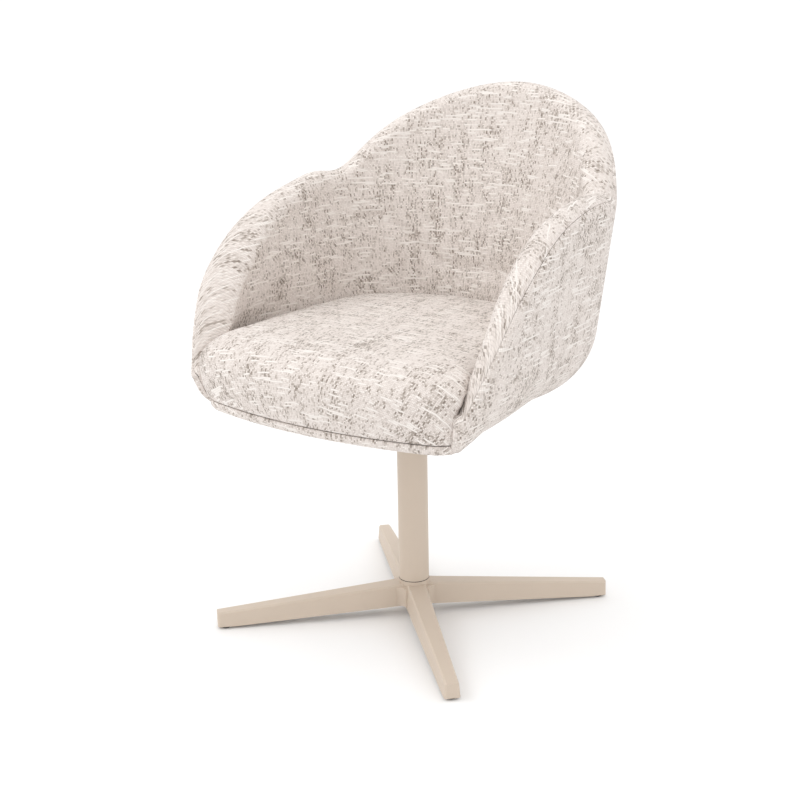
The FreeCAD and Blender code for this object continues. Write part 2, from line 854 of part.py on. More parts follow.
def cushion_levels():
    """Outlines from the front lip's bottom, past the widest one, over the shoulder to the crown."""
    levels = []
    deepest = math.sin(math.radians(lip_turns[0]))
    for turn in lip_turns:
        lip = math.radians(turn)
        height = cushion_widest_height - lip_depth * math.sin(lip) / deepest
        levels.append(cushion_level(height, lip_inset * (1 - math.cos(lip))))
    for step in range(crown_level_count + 1):
        inset = crown_last_inset * (step / crown_level_count) ** crown_level_spread
        shoulder = math.sqrt(1 - (1 - min(inset / shoulder_inset, 1.0)) ** 2)
        crown = 1 - (1 - inset / crown_inset) ** 2
        height = cushion_widest_height + shoulder_rise * shoulder + crown_rise * crown
        levels.append(cushion_level(height, inset))
    return levels


def board_space():
    """Room for the tub's floor and the seat board, behind the cushion's front lip."""
    half_width = cushion_half_width + lip_inset
    depth = cushion_back - floor_front
    start = Vector(-half_width, floor_front - soft_gap, tub_underside)
    return Part.makeBox(2 * half_width, depth, cushion_floor - tub_underside, start)


def seat_cushion():
    """Crowned cushion with a rolled front, trimmed to the inside of the tub and to the seat board."""
    cushion = Part.makeLoft(cushion_levels(), True, False)
    cushion = cushion.cut(tub_loft(wall_section))
    cushion = cushion.cut(board_space())
    return max(cushion.Solids, key=lambda solid: solid.Volume)


def main():
    os.makedirs("parts", exist_ok=True)
    write("star_base", [star_base()])
    for angle, corner in zip(leg_angles(), ("back_left", "back_right", "front_right", "front_left")):
        write("glide_" + corner, [glide(angle)])
    write("glide_studs", [glide_stud(angle) for angle in leg_angles()])
    write("column_seal_ring", [column_seal_ring()])
    write("column_tube", [column_tube()])
    write("column_end_plug", [column_end_plug()])
    write("column_bolt_washer", [column_bolt_washer()])
    write("column_bolt", [column_bolt()])
    write("swivel_housing", [swivel_housing()])
    write("lower_bush", [bush(housing_bottom)])
    write("upper_bush", [bush(housing_top - bush_length)])
    write("lower_race", [race(housing_top)])
    write("ball_cage", [ball_cage()])
    write("thrust_balls", thrust_balls())
    write("upper_race", [race(upper_race_bottom)])
    write("spindle", [spindle()])
    write("spindle_washer", [spindle_washer()])
    write("spindle_circlip", [spindle_circlip()])
    write("swivel_plate", [swivel_plate()])
    write("plate_bolts", [plate_bolt(place) for place in plate_bolt_places()])
    write("plate_washers", [plate_washer(place) for place in plate_bolt_places()])
    write("tee_nuts", [tee_nut(place) for place in plate_bolt_places()])
    write("seat_board", [seat_board()])
    write("tub_shell", [tub_shell()])
    write("outer_upholstery", [tub_loft(outer_section)])
    write("inner_upholstery", [tub_loft(inner_section)])
    write("seat_cushion", [seat_cushion()])
    write("underside_cover", [underside_cover()])
    write("cover_clips", [cover_clip(place) for place in clip_places()])


main()
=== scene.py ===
# %% [markdown]
# # A swivel dining chair, dressed in Blender
# The chair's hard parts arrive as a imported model, already in place and at real size. This lesson adds
# what the eye judges first: the padded tub with its rolled rim, the crowned seat cushion, the coarse
# woven fabric, and the paint on the column and base. Everything is in metres, with the swivel axis on Z
# and the front of the seat towards -Y.

import json
import math

import bmesh
import bpy
import numpy as np
from mathutils import Matrix, Vector


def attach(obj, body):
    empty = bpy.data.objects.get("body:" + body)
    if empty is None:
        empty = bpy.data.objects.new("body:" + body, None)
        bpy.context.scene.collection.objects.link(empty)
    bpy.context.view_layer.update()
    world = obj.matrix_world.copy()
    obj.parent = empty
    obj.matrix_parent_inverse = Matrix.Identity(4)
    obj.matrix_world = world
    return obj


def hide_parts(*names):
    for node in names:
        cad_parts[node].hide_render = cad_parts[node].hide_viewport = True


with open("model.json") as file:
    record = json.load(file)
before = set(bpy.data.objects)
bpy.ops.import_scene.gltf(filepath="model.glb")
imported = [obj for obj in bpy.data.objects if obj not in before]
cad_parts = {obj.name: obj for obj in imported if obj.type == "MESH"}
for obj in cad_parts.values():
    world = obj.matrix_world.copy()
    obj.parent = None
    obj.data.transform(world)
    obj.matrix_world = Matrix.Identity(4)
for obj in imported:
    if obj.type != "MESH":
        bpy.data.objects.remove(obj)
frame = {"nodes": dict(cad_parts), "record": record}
scene = bpy.context.scene
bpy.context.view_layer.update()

# %% [markdown]
# ## The camera
# A product photo is usually taken with a long lens, from a little above the seat. The camera here was
# worked out from the base: four equal legs at right angles can look like that from one place only.
# The camera's own axes are built from its turn, its tilt and a small roll.

# %% Place the camera
camera_turn = math.radians(36.0)
camera_tilt = 0.29097
camera_roll = -0.01821
camera_place = Vector((1.3451, -1.8813, 1.0489))

away = Vector((math.sin(camera_turn) * math.cos(camera_tilt),
               -math.cos(camera_turn) * math.cos(camera_tilt),
               math.sin(camera_tilt)))
level_right = Vector((math.cos(camera_turn), math.sin(camera_turn), 0.0))
level_up = away.cross(level_right)
right = level_right * math.cos(camera_roll) + level_up * math.sin(camera_roll)
up = level_up * math.cos(camera_roll) - level_right * math.sin(camera_roll)

lens = bpy.data.cameras.new("photo_lens")
lens.sensor_width = 36.0
lens.lens = 69.78
lens.clip_end = 200.0
camera = bpy.data.objects.new("photo_camera", lens)
scene.collection.objects.link(camera)
camera.matrix_world = Matrix((
    (right.x, up.x, away.x, camera_place.x),
    (right.y, up.y, away.y, camera_place.y),
    (right.z, up.z, away.z, camera_place.z),
    (0.0, 0.0, 0.0, 1.0),
))
scene.camera = camera
print("camera", [round(value, 3) for value in camera_place], "lens", lens.lens)

# %% [markdown]
# ## Floor and light
# The photo is high key: a white sweep, a broad light from the upper left and a bright room around it.
# A floor that reaches past the picture's top edge, a white world and two big area lights give the
# same even light, with faint shadows beside the feet.

# %% Set up the floor and the lights
def plain_material(name, colour, roughness):
    """A new node material with its main shader's colour and roughness set."""
    material = bpy.data.materials.new(name)
    material.use_nodes = True
    shader = material.node_tree.nodes["Principled BSDF"]
    shader.inputs["Base Color"].default_value = (*colour, 1.0)
    shader.inputs["Roughness"].default_value = roughness
    return material


bpy.ops.object.select_all(action="DESELECT")
bpy.ops.mesh.primitive_plane_add(size=120.0, location=(0.0, 0.0, 0.0))
floor = bpy.context.object
floor.name = "studio_floor"
floor.data.materials.append(plain_material("studio_white", (0.93, 0.93, 0.93), 0.85))

world = bpy.data.worlds.new("studio_room")
world.use_nodes = True
world.node_tree.nodes["Background"].inputs["Color"].default_value = (1.0, 1.0, 1.0, 1.0)
world.node_tree.nodes["Background"].inputs["Strength"].default_value = 1.12
scene.world = world
scene.view_settings.view_transform = "Standard"


def area_light(name, place, target, size, power):
    """A square soft light that faces a point."""
    light = bpy.data.lights.new(name, "AREA")
    light.shape = "SQUARE"
    light.size = size
    light.energy = power
    lamp = bpy.data.objects.new(name, light)
    scene.collection.objects.link(lamp)
    lamp.location = place
    lamp.rotation_euler = (Vector(place) - Vector(target)).to_track_quat("Z", "Y").to_euler()
    return lamp


area_light("key_light", (-1.9, -1.6, 2.7), (0.0, 0.0, 0.5), 1.6, 22.0)
area_light("top_light", (0.3, 0.4, 3.0), (0.0, 0.0, 0.4), 2.2, 10.0)

# %% [markdown]
# ## The tub's shape in numbers
# The upholstery follows the same lines as the construction model. The rim's centre line is given by
# sixteen points on one side; a smooth curve through them and their mirror images gives as many upright
# sections as the fabric needs. Lengths in this part are millimetres, turned to metres in the mesh.

# %% Describe the rim and the wall
rim_points = [
    (238.0, -217.0, 413.0), (244.0, -202.0, 441.0), (250.0, -187.0, 468.0), (255.0, -171.0, 495.0),
    (259.0, -155.0, 521.0), (261.0, -122.0, 560.0), (261.0, -86.0, 591.0), (255.0, -15.0, 631.0),
    (252.0, 50.0, 649.0), (252.0, 102.0, 655.0), (244.0, 141.0, 653.0), (227.0, 176.0, 678.0),
    (200.0, 217.0, 717.0), (157.0, 261.0, 750.0), (92.0, 296.0, 777.0), (0.0, 314.0, 791.0),
]
rim_radius = 27.0
rim_corner_radius = 15.0
rim_taper_height = 150.0
seam_angle = 38.0
tub_bottom = 365.0
cover_thickness = 2.7
gap = 0.3
shell_thickness = 8.0
outer_padding = 12.0
edge_drop = 5.0
heel_half_width = 254.0
heel_back = 295.0
heel_radius = 150.0
heel_full_height = 260.0
cover_heel_radius = 115.0
crease_height = 455.0
crease_share = 0.80
crease_half_width = 228.0
crease_back = 196.0
crease_return = 0.75
heel_margin = 4.0
foot_margin = 5.0
shell_bottom = tub_bottom + cover_thickness + gap
shell_floor = shell_bottom + shell_thickness
arm_fullness = 13.0
arm_full_below = 560.0
arm_plain_above = 640.0
column_step = 8.0


def spline(knots, values, places):
    """Natural cubic curve through values at knots, read at places."""
    step = np.diff(knots)
    slope = np.diff(values, axis=0) / step[:, None]
    count = len(knots)
    matrix = np.eye(count)
    side = np.zeros_like(values)
    for i in range(1, count - 1):
        matrix[i, i - 1:i + 2] = step[i - 1], 2 * (step[i - 1] + step[i]), step[i]
        side[i] = 6 * (slope[i] - slope[i - 1])
    bend = np.linalg.solve(matrix, side)
    index = np.clip(np.searchsorted(knots, places) - 1, 0, count - 2)
    width = step[index][:, None]
    low = (knots[index + 1] - places)[:, None]
    high = (places - knots[index])[:, None]
    curve = (bend[index] * low ** 3 + bend[index + 1] * high ** 3) / (6 * width)
    line_low = (values[index] / width - bend[index] * width / 6) * low
    line_high = (values[index + 1] / width - bend[index + 1] * width / 6) * high
    return curve + line_low + line_high


rim_ring = np.array(rim_points + [(-x, y, z) for x, y, z in reversed(rim_points[:-1])])
rim_runs = np.concatenate([[0.0], np.cumsum(np.linalg.norm(np.diff(rim_ring, axis=0), axis=1))])
column_count = int(rim_runs[-1] / column_step)
rim_centres = spline(rim_runs, rim_ring, np.linspace(0.0, rim_runs[-1], column_count))
print("rim length", round(rim_runs[-1]), "mm in", column_count, "columns")


def eased(part):
    """Share from 0 to 1 that starts fast and levels off."""
    return math.sin(math.pi / 2 * min(max(part, 0.0), 1.0))


def rim_column(centre):
    """What one upright section needs: its place, its outward direction and its widths."""
    x, y, z = centre
    front, back = rim_points[0][1], rim_points[-1][1]
    widest = max(point[0] for point in rim_points)
    distance = math.hypot(x, y)
    out = np.array([x, y]) / distance
    depth = min(max((y - front) / (back - front), 0.0), 1.0)
    heel = np.array([x / widest * heel_half_width, front + depth * (heel_back - front)])
    crease = np.array([x / widest * crease_half_width, front + depth * (crease_back - front)])
    growth = eased((z - rim_points[0][2]) / rim_taper_height)
    radius = rim_corner_radius + (rim_radius - rim_corner_radius) * growth
    extra = arm_fullness * eased((arm_plain_above - z) / (arm_plain_above - arm_full_below))
    return {
        "out": out, "distance": distance, "height": z, "turn": math.atan2(y, x),
        "radius": radius, "inner": radius + extra,
        "heel": heel @ out - distance, "crease": crease @ out - distance,
    }


columns = [rim_column(centre) for centre in rim_centres]
plan_runs = np.concatenate([[0.0], np.cumsum(np.linalg.norm(np.diff(rim_centres[:, :2], axis=0), axis=1))])


def padding(column):
    return outer_padding * column["radius"] / rim_radius


def wall_line(column, inset, floor_height, radius_cut, largest=heel_radius):
    """Leaning side, round heel and flat foot of one layer of the wall."""
    rise = column["height"] - tub_bottom
    lean = (column["radius"] - column["heel"]) / rise
    top = column["radius"] - inset
    radius = min(heel_radius * eased(rise / heel_full_height), largest) - radius_cut
    corner = top - lean * (column["height"] - floor_height)
    side = math.atan2(1.0, lean)
    run = radius / math.tan((math.pi - side) / 2)
    return {
        "lean": lean, "top": top, "rim": column["height"], "radius": radius, "floor": floor_height,
        "side": side, "lower": corner - run,
        "upper": (corner + run * math.cos(side), floor_height + run * math.sin(side)),
    }


def side_at(line, height):
    return line["top"] - line["lean"] * (line["rim"] - height)


def heel_at(line, height):
    """Distance out of the round heel at a height."""
    rise = line["floor"] + line["radius"] - height
    return line["lower"] + math.sqrt(max(line["radius"] ** 2 - rise ** 2, 0.0))


def layer_at(line, height):
    return side_at(line, height) if height >= line["upper"][1] else heel_at(line, height)


def foot_of(column):
    """Inner end of the wall's flat foot."""
    line = wall_line(column, padding(column) + 3 * gap + shell_thickness, shell_floor + 2 * gap,
                     outer_padding / 2 + shell_thickness + 2 * gap)
    return line["lower"] - foot_margin


def pad_backing(column):
    """The inner pad's hidden face, its crease height, its thickness there and where it ends."""
    crease_z = min(crease_height, tub_bottom + crease_share * (column["height"] - tub_bottom))
    backing = wall_line(column, padding(column) + 2 * gap + shell_thickness, shell_floor + gap,
                        outer_padding / 2 + shell_thickness + gap)
    thickness = layer_at(backing, crease_z) - column["crease"]
    low = min(crease_z - crease_return * thickness, backing["upper"][1] - heel_margin)
    return backing, crease_z, thickness, low


foot_rows, heel_rows, side_rows = 4, 14, 22


def low_face(line, foot, top_height):
    """Foot, heel and side of a layer as (across, height) rows, from the foot's end upwards."""
    rows = [(foot + (line["lower"] - foot) * i / foot_rows, line["floor"]) for i in range(foot_rows)]
    for i in range(heel_rows):
        turn = line["side"] * i / heel_rows - math.pi / 2
        rows.append((line["lower"] + line["radius"] * math.cos(turn),
                     line["floor"] + line["radius"] * (1 + math.sin(turn))))
    low = line["upper"][1]
    for i in range(side_rows):
        height = low + (top_height - low) * i / (side_rows - 1)
        rows.append((side_at(line, height), height))
    return rows


back_wall = wall_line(columns[column_count // 2], 0.0, tub_bottom, 0.0)
print("tub bottom", tub_bottom, "mm, back heel radius", round(back_wall["radius"]), "mm")

# %% [markdown]
# ## The outer cover
# The outside of the tub is one padded panel that starts at a seam on the outer shoulder of the rim,
# runs down the side and tucks under the seat. Its heel is fuller than the shell's. It is a closed form
# of a visible face and a hidden face that lies against the shell. At the seam both panels roll inwards,
# as sewn edges do. At the front corners the sections shrink towards the wall's middle, which closes each
# arm's end with a soft edge.

# %% Make the outer cover
seam_roll = [(4.0, 0.0), (2.2, 0.06), (1.1, 0.2), (0.5, 0.45), (0.15, 0.9)]
end_reach = 12.0
end_turns = [14.0, 28.0, 42.0, 56.0, 70.0, 84.0]


def outer_rows(column):
    """Visible, hidden and middle rows of the outer cover, and how far each is up the cloth."""
    foot = foot_of(column)
    radius, rim = column["radius"], column["height"]
    seen = low_face(wall_line(column, 0.0, tub_bottom, 0.0, cover_heel_radius), foot, rim)
    cloth = [point[1] for point in seen]
    for i in range(foot_rows + heel_rows, -1, -1):
        step = math.dist(seen[i], seen[i + 1])
        cloth[i] = cloth[i + 1] - step
    back = wall_line(column, padding(column), tub_bottom + cover_thickness, outer_padding / 2)
    hidden = low_face(back, foot, rim - edge_drop)
    middle_line = wall_line(column, 11.0, tub_bottom + 7.5, 9.0)
    middle = low_face(middle_line, foot, rim)
    turns = [(angle, 0.0) for angle in (8.0, 16.0, 23.0)] + [(seam_angle - a, cut) for a, cut in seam_roll]
    for angle, cut in turns:
        turn = math.radians(angle)
        reach = radius - cut
        seen.append((reach * math.cos(turn), rim + reach * math.sin(turn)))
        cloth.append(rim + radius * turn)
        hidden.append((hidden[foot_rows + heel_rows + side_rows - 1][0], rim - edge_drop + radius * 0.2 * turn))
        middle.append((middle[foot_rows + heel_rows + side_rows - 1][0], rim))
    return np.array(seen), np.array(hidden), np.array(middle), np.array(cloth)


def in_space(column, rows, forward=0.0):
    """Section rows as points in space. Forward moves them past the section's plane."""
    distance = column["distance"] + rows[:, 0]
    points = np.empty((len(rows), 3))
    points[:, :2] = distance[:, None] * column["out"]
    side = 1.0 if column["out"][0] > 0 else -1.0
    points[:, :2] += forward * side * np.array([column["out"][1], -column["out"][0]])
    points[:, 2] = rows[:, 1]
    return points


def panel_columns(rows_of):
    """All columns of a panel: the rounded front ends, and every section between them."""
    made = []
    for end in (0, -1):
        column = columns[end]
        seen, hidden, middle, cloth = rows_of(column)
        ends = []
        for angle in reversed(end_turns):
            shrink = math.cos(math.radians(angle))
            forward = end_reach * math.sin(math.radians(angle))
            outside = middle + (seen - middle) * shrink
            inside = middle + (hidden - middle) * 0.04
            ends.append((in_space(column, outside, forward), in_space(column, inside, forward),
                         plan_runs[end] + (forward if end else -forward), cloth))
        made.append(ends)
    body = []
    for column, run in zip(columns, plan_runs):
        seen, hidden, middle, cloth = rows_of(column)
        body.append((in_space(column, seen), in_space(column, hidden), run, cloth))
    return made[0] + body + made[1][::-1]


def per_corner(mesh, values):
    """Values of the points, laid out for every face corner."""
    points = np.empty(len(mesh.loops), dtype=np.int32)
    mesh.loops.foreach_get("vertex_index", points)
    return values[points].ravel()


def panel_mesh(name, sections):
    """Closed form from the sections' visible and hidden rows, with the cloth's own map in metres."""
    rows = len(sections[0][0])
    points, map_of = [], []
    for seen, hidden, run, cloth in sections:
        points.extend(seen)
        points.extend(hidden[::-1])
        map_of.extend([(run, height) for height in cloth])
        map_of.extend([(run, height) for height in cloth[::-1]])
    ring = 2 * rows
    faces = []
    for i in range(len(sections) - 1):
        for j in range(ring):
            a, b = i * ring + j, i * ring + (j + 1) % ring
            faces.append((a, a + ring, b + ring, b))
    last = (len(sections) - 1) * ring
    for start in (0, last):
        for j in range(rows - 1):
            quad = (start + j, start + j + 1, start + ring - 2 - j, start + ring - 1 - j)
            faces.append(quad if start == 0 else quad[::-1])
    mesh = bpy.data.meshes.new(name)
    mesh.from_pydata([tuple(point / 1000.0) for point in points], [], faces)
    weave_map = mesh.uv_layers.new(name="cloth")
    weave_map.data.foreach_set("uv", per_corner(mesh, np.array(map_of) / 1000.0))
    piece = bpy.data.objects.new(name, mesh)
    scene.collection.objects.link(piece)
    return piece


def make_solid(piece):
    """Faces turned outwards and shaded smooth."""
    bm = bmesh.new()
    bm.from_mesh(piece.data)
    bmesh.ops.recalc_face_normals(bm, faces=bm.faces)
    for face in bm.faces:
        face.smooth = True
    bm.to_mesh(piece.data)
    volume = bm.calc_volume(signed=True)
    bm.free()
    return volume


def subdivide(piece):
    """One applied level of Subdivision Surface."""
    bpy.ops.object.select_all(action="DESELECT")
    piece.select_set(True)
    bpy.context.view_layer.objects.active = piece
    modifier = piece.modifiers.new("Smooth", "SUBSURF")
    modifier.levels = modifier.render_levels = 1
    bpy.ops.object.modifier_apply(modifier=modifier.name)


outer_cover = panel_mesh("tub_outer_cover", panel_columns(outer_rows))
print("outer cover", len(outer_cover.data.vertices), "points,", round(make_solid(outer_cover) * 1e6), "cm3")

# %% [markdown]
# ## The inner pad
# The inside of the tub is a thicker pad. It rolls over the rim from the same seam, runs down inside the
# arms and back, and is tucked under the seat cushion. Its face swells a little between rim and seat,
# is fuller at the arms, and has a soft fold across the lower back.

# %% Make the inner pad
roll_rows, face_rows, tuck_rows = 12, 34, 4
pad_swell = 4.0
fold_across = [0.0, 30.0, 78.0, 116.0, 147.0, 161.0, 181.0]
fold_heights = [521.0, 522.0, 529.0, 553.0, 582.0, 594.0, 605.0]
fold_depth = 5.5
fold_width = 7.5


def fold_dent(x, y, height):
    """Depth of the soft fold that crosses the lower back and rises towards the arms."""
    off = (height - np.interp(abs(x), fold_across, fold_heights)) / fold_width
    fade = eased((215.0 - abs(x)) / 35.0) if y > 0 else 0.0
    return fold_depth * fade * math.exp(-off ** 2)


def inner_rows(column):
    """Visible, hidden and middle rows of the inner pad, from the seam over the rim and down."""
    radius, rim = column["radius"], column["height"]
    backing, crease_z, thickness, low = pad_backing(column)
    crease_across = column["crease"]
    end_across = heel_at(backing, low) - 1.0
    middle_line = wall_line(column, 11.0, tub_bottom + 7.5, 9.0)
    seen, hidden, middle, cloth = [], [], [], []
    turns = [(seam_angle + a, cut) for a, cut in reversed(seam_roll)]
    start = turns[-1][0]
    turns += [(start + (180.0 - start) * i / roll_rows, 0.0) for i in range(1, roll_rows + 1)]
    for angle, cut in turns:
        turn = math.radians(angle)
        reach = radius - cut
        across = reach * math.cos(turn)
        seen.append((across * (column["inner"] / radius if across < 0 else 1.0), rim + reach * math.sin(turn)))
        cloth.append(rim + radius * (math.pi - turn))
        middle.append((2.0, rim))
        hidden.append((layer_at(backing, rim - edge_drop), rim - edge_drop + 2.0 * (180.0 - angle) / 142.0))
    for i in range(1, face_rows + 1):
        part = i / face_rows
        height = rim + (crease_z - rim) * part
        across = -column["inner"] + (crease_across + column["inner"]) * part
        x, y = (column["distance"] + across) * column["out"]
        swell = pad_swell * math.sin(math.pi * part) ** 2
        seen.append((across - swell + fold_dent(x, y, height), height))
        cloth.append(height)
        level = rim - edge_drop + (crease_z - rim + edge_drop) * part
        hidden.append((layer_at(backing, level), level))
        middle.append((layer_at(middle_line, height), height))
    for i in range(1, tuck_rows + 1):
        part = i / tuck_rows
        height = crease_z + (low + 1.0 - crease_z) * part
        seen.append((crease_across + (end_across - crease_across) * part, height))
        cloth.append(crease_z - thickness * part)
        level = crease_z + (low - crease_z) * part
        hidden.append((layer_at(backing, level), level))
        middle.append((layer_at(middle_line, height), height))
    return np.array(seen), np.array(hidden), np.array(middle), np.array(cloth)


inner_pad = panel_mesh("tub_inner_pad", panel_columns(inner_rows))
print("inner pad", len(inner_pad.data.vertices), "points,", round(make_solid(inner_pad) * 1e6), "cm3")

# %% [markdown]
# ## The seat cushion
# The cushion is a crowned block of foam in one sewn cover. Its top is slightly domed, its edges are
# rounded, and its front rolls down to a seam just above the chair's underside. It is stacked from
# rounded outlines, and its sides are then pressed in wherever the inner pad is in the way.

# %% Make the seat cushion
cushion_half_width = 243.0
cushion_front = -271.0
cushion_back = 232.0
cushion_widest = 438.0
cushion_floor = 389.8
cushion_corner = 0.22
cushion_bulge = 0.10
wall_clearance = 0.6
outline_points = 176


def outline(half_width, front, back, height):
    """Evenly spaced points round a plan outline with bowed ends and round corners."""
    corner = cushion_corner * half_width
    bulge = cushion_bulge * half_width
    inset = half_width - corner
    rise = corner + bulge
    sweep = (inset ** 2 + rise ** 2 - corner ** 2) / (2 * bulge)
    turn = math.atan2(inset, sweep - rise)
    quarter = [(sweep * math.sin(turn * i / 12), sweep - sweep * math.cos(turn * i / 12)) for i in range(12)]
    for i in range(25):
        angle = turn + (math.pi / 2 - turn) * i / 24
        quarter.append((inset + corner * math.sin(angle), rise - corner * math.cos(angle)))
    right = [(x, front + depth) for x, depth in quarter] + [(x, back - depth) for x, depth in quarter[::-1]]
    path = np.array(right + [(-x, y) for x, y in right[::-1]])
    runs = np.concatenate([[0.0], np.cumsum(np.linalg.norm(np.diff(path, axis=0), axis=1))])
    places = np.linspace(0.0, runs[-1], outline_points, endpoint=False)
    return np.column_stack([np.interp(places, runs, path[:, 0]), np.interp(places, runs, path[:, 1]),
                            np.full(outline_points, height)])


def wall_limit(column, height):
    """How far out the cushion may reach at a height before it meets the inner pad."""
    radius, rim, distance = column["radius"], column["height"], column["distance"]
    if height >= rim + radius:
        return distance + 60.0
    if height >= rim:
        return distance - column["inner"] * math.sqrt(1 - ((height - rim) / radius) ** 2)
    backing, crease_z, _, low = pad_backing(column)
    if height >= crease_z:
        part = (rim - height) / (rim - crease_z)
        swell = pad_swell * math.sin(math.pi * part) ** 2
        return distance - column["inner"] + (column["crease"] + column["inner"]) * part - swell
    if height >= low:
        part = (crease_z - height) / (crease_z - low)
        return distance + column["crease"] + (heel_at(backing, low) - column["crease"]) * part
    return distance + heel_at(backing, max(height, shell_floor + gap))


turns_round = np.unwrap([column["turn"] for column in columns])


def limit_at(x, y, height):
    """The wall's limit in the direction of a point, or None in front of the arms."""
    turn = math.atan2(y, x)
    if turn < -math.pi / 2:
        turn += 2 * math.pi
    if turn < turns_round[0] or turn > turns_round[-1]:
        return None
    i = min(max(int(np.searchsorted(turns_round, turn)), 1), column_count - 1)
    part = (turn - turns_round[i - 1]) / (turns_round[i] - turns_round[i - 1])
    low, high = wall_limit(columns[i - 1], height), wall_limit(columns[i], height)
    return low + (high - low) * part


def press_in(ring, soften):
    """Moves a ring's points inside the wall, and lowers the top a little beside it."""
    for point in ring:
        limit = limit_at(point[0], point[1], point[2])
        if limit is None:
            continue
        reach = math.hypot(point[0], point[1])
        room = limit - wall_clearance - reach
        if room < 0:
            point[:2] *= (limit - wall_clearance) / reach
        point[2] -= soften * math.exp(-max(room, 0.0) / 8.0)
    return ring


def cushion_rings():
    """The cushion's outlines from the middle of its underside, out and up over the front, to the top."""
    def level(inset, height):
        return outline(cushion_half_width - inset, cushion_front + inset, cushion_back - inset, height)

    def lip(angle):
        turn = math.radians(angle)
        return 25.0 * (1 - math.cos(turn)), cushion_widest - 70.0 * math.sin(turn)

    seam_inset, seam_height = lip(55.9)
    under = level(seam_inset + 22.0, cushion_floor)
    rings = [under * [scale, scale, 1.0] for scale in (0.04, 0.35, 0.65, 0.85, 1.0)]
    rings.append(level(seam_inset + 22.0, seam_height + 2.0))
    rings.append(level(seam_inset + 7.0, seam_height + 1.0))
    rings.append(level(seam_inset + 2.2, seam_height + 0.6))
    rings.append(level(seam_inset + 0.6, seam_height + 1.8))
    for angle in (52.0, 47.0, 41.0, 35.0, 29.0, 23.0, 17.0, 11.0, 5.0):
        rings.append(level(*lip(angle)))
    for ring in rings:
        press_in(ring, 0.0)
    steps = 26
    for step in range(steps + 1):
        inset = 178.0 * (step / steps) ** 1.5
        shoulder = math.sqrt(1 - (1 - min(inset / 60.0, 1.0)) ** 2)
        crown = 1 - (1 - inset / 180.0) ** 2
        height = cushion_widest + 40.0 * shoulder + 10.0 * crown
        rings.append(press_in(level(inset, height), 9.0 * shoulder))
    last = rings[-1]
    centre = last.mean(axis=0)
    for scale in (0.75, 0.5, 0.25, 0.04):
        ring = centre + (last - centre) * scale
        ring[:, 2] = last[:, 2] + 0.3 * (1 - scale)
        rings.append(ring)
    return rings


def ring_mesh(name, rings):
    """Closed form of stacked rings, with a cloth map unrolled outwards from the top's middle."""
    count = len(rings[0])
    maps = [None] * len(rings)
    maps[-1] = rings[-1][:, :2].copy()
    heading = rings[-2][:, :2] - rings[-1][:, :2]
    heading /= np.linalg.norm(heading, axis=1)[:, None]
    for k in range(len(rings) - 2, -1, -1):
        move = rings[k] - rings[k + 1]
        plan = np.linalg.norm(move[:, :2], axis=1)
        length = np.linalg.norm(move, axis=1)
        outward = (move[:, :2] * heading).sum(axis=1) > 0
        use = (plan > 0.5 * length) & outward & (plan > 0.2)
        heading[use] = move[use, :2] / plan[use, None]
        maps[k] = maps[k + 1] + heading * length[:, None]
    points = [tuple(point / 1000.0) for ring in rings for point in ring]
    faces = []
    for k in range(len(rings) - 1):
        for j in range(count):
            following = (j + 1) % count
            faces.append((k * count + j, k * count + following,
                          (k + 1) * count + following, (k + 1) * count + j))
    top = (len(rings) - 1) * count
    for j in range(count // 2 - 1):
        faces.append((count - 1 - j, count - 2 - j, j + 1, j))
        faces.append((top + j, top + j + 1, top + count - 2 - j, top + count - 1 - j))
    mesh = bpy.data.meshes.new(name)
    mesh.from_pydata(points, [], faces)
    cloth_map = mesh.uv_layers.new(name="cloth")
    cloth_map.data.foreach_set("uv", per_corner(mesh, np.concatenate(maps) / 1000.0))
    piece = bpy.data.objects.new(name, mesh)
    scene.collection.objects.link(piece)
    return piece


seat_cushion = ring_mesh("seat_cushion_cover", cushion_rings())
print("seat cushion", len(seat_cushion.data.vertices), "points,", round(make_solid(seat_cushion) * 1e6), "cm3")

# %% [markdown]
# ## The underside and its front band
# A flat panel closes the tub from below, with an opening for the swivel plate. Its front edge turns up as
# a narrow padded band, which meets the cushion at the low seam across the chair's front. The band's two
# ends are buried in the arms. The panel is a ring of points between two outlines: the plate's opening,
# and the tub's foot with the front edge.

# %% Make the underside panel and the front band
plate_opening = 85.6
opening_corner = 20.0
band_inset = 11.0
band_end_sections = 4


def opening_point(turn):
    """Point on the rounded square opening in a direction from the axis."""
    across, along = abs(math.cos(turn)), abs(math.sin(turn))
    flat = plate_opening - opening_corner
    reach = plate_opening / max(across, along)
    if min(across, along) * reach > flat:
        middle = flat * (across + along)
        reach = middle + math.sqrt(middle ** 2 - 2 * flat ** 2 + opening_corner ** 2)
    return reach * math.cos(turn), reach * math.sin(turn)


def front_reach(turn, inset):
    """How far the band's outline is from the axis, in a direction through the chair's front."""
    ring = outline(cushion_half_width - inset, cushion_front + inset, cushion_back, 0.0)
    angles = np.arctan2(ring[:, 1], ring[:, 0])
    order = np.argsort(angles)
    return float(np.interp(turn, angles[order], np.hypot(ring[order, 0], ring[order, 1])))


feet = [(column["turn"], column["distance"] + foot_of(column) - 0.9) for column in columns]
foot_turns = np.unwrap([turn for turn, _ in feet])
front_turns = np.linspace(foot_turns[-1] - 2 * math.pi, foot_turns[0], 64)[1:-1]
print("front band spans", round(math.degrees(front_turns[-1] - front_turns[0])), "degrees")


